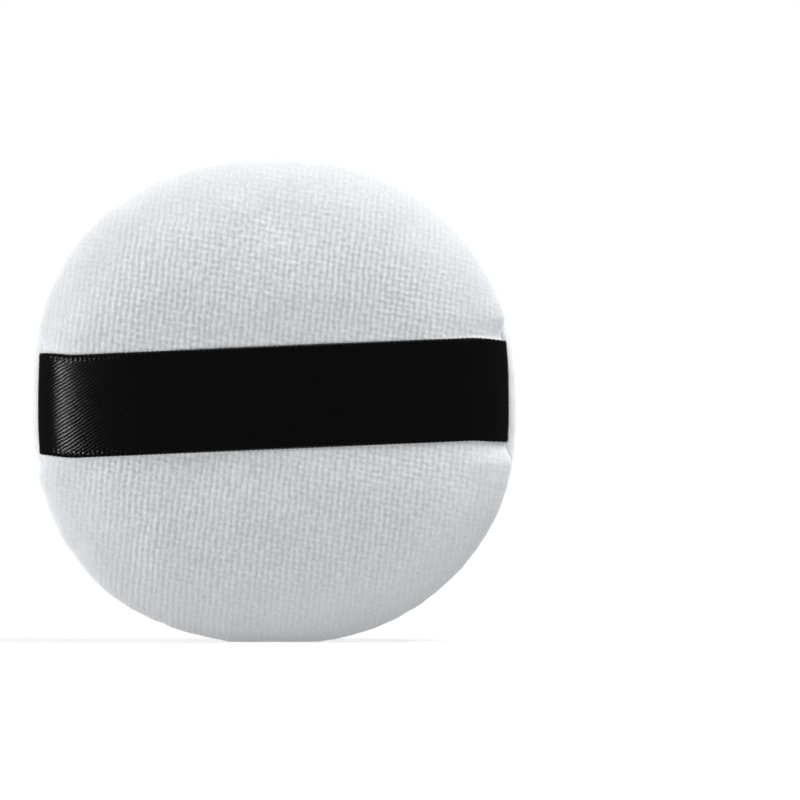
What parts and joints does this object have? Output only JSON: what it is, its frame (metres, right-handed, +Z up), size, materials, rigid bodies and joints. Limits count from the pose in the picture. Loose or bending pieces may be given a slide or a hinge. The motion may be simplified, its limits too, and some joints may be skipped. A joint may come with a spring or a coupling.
{
  "type": "powder puff",
  "caption": "Round velour cosmetic puff: two domed covers sewn round a foam disc, with a satin ribbon strap across the back and a plain soft face.",
  "frame": {"origin": "centre of the puff's base, on the surface that its rim stands on", "axes": "+Z up as pictured, +X along the ribbon to the right of someone facing the ribbon side, +Y from the ribbon side through to the plain face"},
  "size_m": [0.09, 0.0228, 0.0895],
  "materials": {
    "velour_face": "white cotton velour, short upright pile in fine vertical wales",
    "velour_back": "white cotton velour, short upright pile in fine vertical wales",
    "foam": "matt open-cell polyurethane foam, cream",
    "satin_ribbon": "black satin weave, soft sheen, plain selvedges",
    "thread": "white spun sewing thread"
  },
  "bodies": {
    "root": {"face_cover": "velour_face", "back_cover": "velour_back", "sponge_core": "foam", "strap_ribbon": "satin_ribbon", "seam_thread": "thread", "closing_thread": "thread"}
  },
  "joints": []
}
